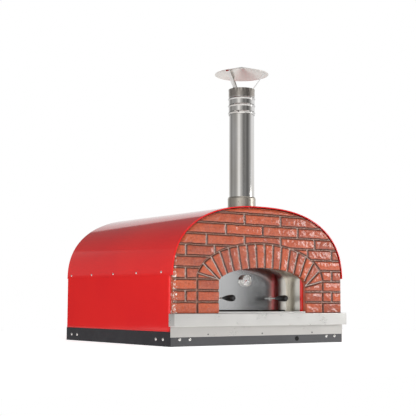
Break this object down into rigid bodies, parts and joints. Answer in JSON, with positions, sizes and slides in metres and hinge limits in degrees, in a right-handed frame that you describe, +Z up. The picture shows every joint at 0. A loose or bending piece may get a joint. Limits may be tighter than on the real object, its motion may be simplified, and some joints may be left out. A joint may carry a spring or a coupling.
{
  "type": "wood fired pizza oven",
  "caption": "Outdoor wood fired oven: red steel shell, arched brick front, steel shelf, lift-off door with thermometer, flue pipe with rain cowl.",
  "frame": {"origin": "on the ground under the middle of the oven's overall width and depth", "axes": "+Z up, the mouth faces -Y, +X to the right seen from the front"},
  "size_m": [1.17, 1.125, 1.532],
  "materials": {
    "red_paint": "glossy baked red enamel on folded steel sheet",
    "stainless": "brushed stainless sheet, the door almost mirror bright",
    "flue_steel": "bright rolled stainless, slightly heat toned",
    "galvanised": "galvanised sheet",
    "plinth": "satin black powder coat",
    "brick": "moulded brick front with a glossy clear sealer",
    "fireclay": "dry pressed refractory",
    "insulation": "soft ceramic wool and board",
    "bakelite": "black heat-proof plastic, polished",
    "plug_rubber": "matt black",
    "glass": "clear flat glass",
    "dial": "white dial with plain black marks",
    "needle": "red lacquer"
  },
  "bodies": {
    "oven": {"plinth_rail_left": "plinth", "plinth_rail_right": "plinth", "plinth_rail_front": "plinth", "plinth_rail_rear": "plinth", "cross_brace_1": "plinth", "cross_brace_2": "plinth", "plinth_plug": "plug_rubber", "floor_pan": "galvanised", "landing_shelf": "stainless", "apron_strip": "stainless", "side_panel_left": "red_paint", "side_panel_right": "red_paint", "roof_sheet": "red_paint", "back_panel": "red_paint", "front_frame": "red_paint", "brick_facade": "brick", "vestibule_lining": "stainless", "sill_plate": "stainless", "sill_support": "galvanised", "door_seat_plate": "stainless", "floor_insulation": "insulation", "hearth_tile_1": "fireclay", "hearth_tile_2": "fireclay", "hearth_tile_3": "fireclay", "hearth_tile_4": "fireclay", "hearth_tile_5": "fireclay", "hearth_tile_6": "fireclay", "chamber_vault": "fireclay", "chamber_rear_wall": "fireclay", "chamber_front_wall": "fireclay", "insulation_blanket": "insulation", "smoke_box": "galvanised", "flue_stub": "galvanised", "roof_collar": "flue_steel"},
    "door": {"door_panel": "stainless", "door_insulation": "insulation", "door_back_plate": "stainless", "door_foot_left": "plinth", "door_foot_right": "plinth", "handle_washer_left": "stainless", "handle_washer_right": "stainless", "handle_rod_left": "stainless", "handle_rod_right": "stainless", "handle_grip_left": "bakelite", "handle_grip_right": "bakelite", "gauge_case": "stainless", "gauge_bezel": "stainless", "gauge_lens": "glass", "gauge_dial": "dial", "gauge_stem": "stainless"},
    "needle": {"gauge_needle": "needle"},
    "flue": {"flue_pipe": "flue_steel"},
    "cowl": {"cowl_sleeve": "flue_steel", "cowl_leg_1": "flue_steel", "cowl_leg_2": "flue_steel", "cowl_leg_3": "flue_steel", "cowl_cap": "flue_steel"}
  },
  "joints": [
    {"name": "door_lift_off", "type": "slide", "parent": "oven", "child": "door", "axis": [0, -1, 0], "range_m": [0, 0.1]},
    {"name": "gauge_needle_turn", "type": "hinge", "parent": "door", "child": "needle", "pos_m": [0, -0.3905, 0.338], "axis": [0, 1, 0], "range_deg": [0, 270]},
    {"name": "pipe_lift_off", "type": "slide", "parent": "oven", "child": "flue", "axis": [0, 0, 1], "range_m": [0, 0.12]},
    {"name": "cowl_lift_off", "type": "slide", "parent": "flue", "child": "cowl", "axis": [0, 0, 1], "range_m": [0, 0.12]}
  ]
}
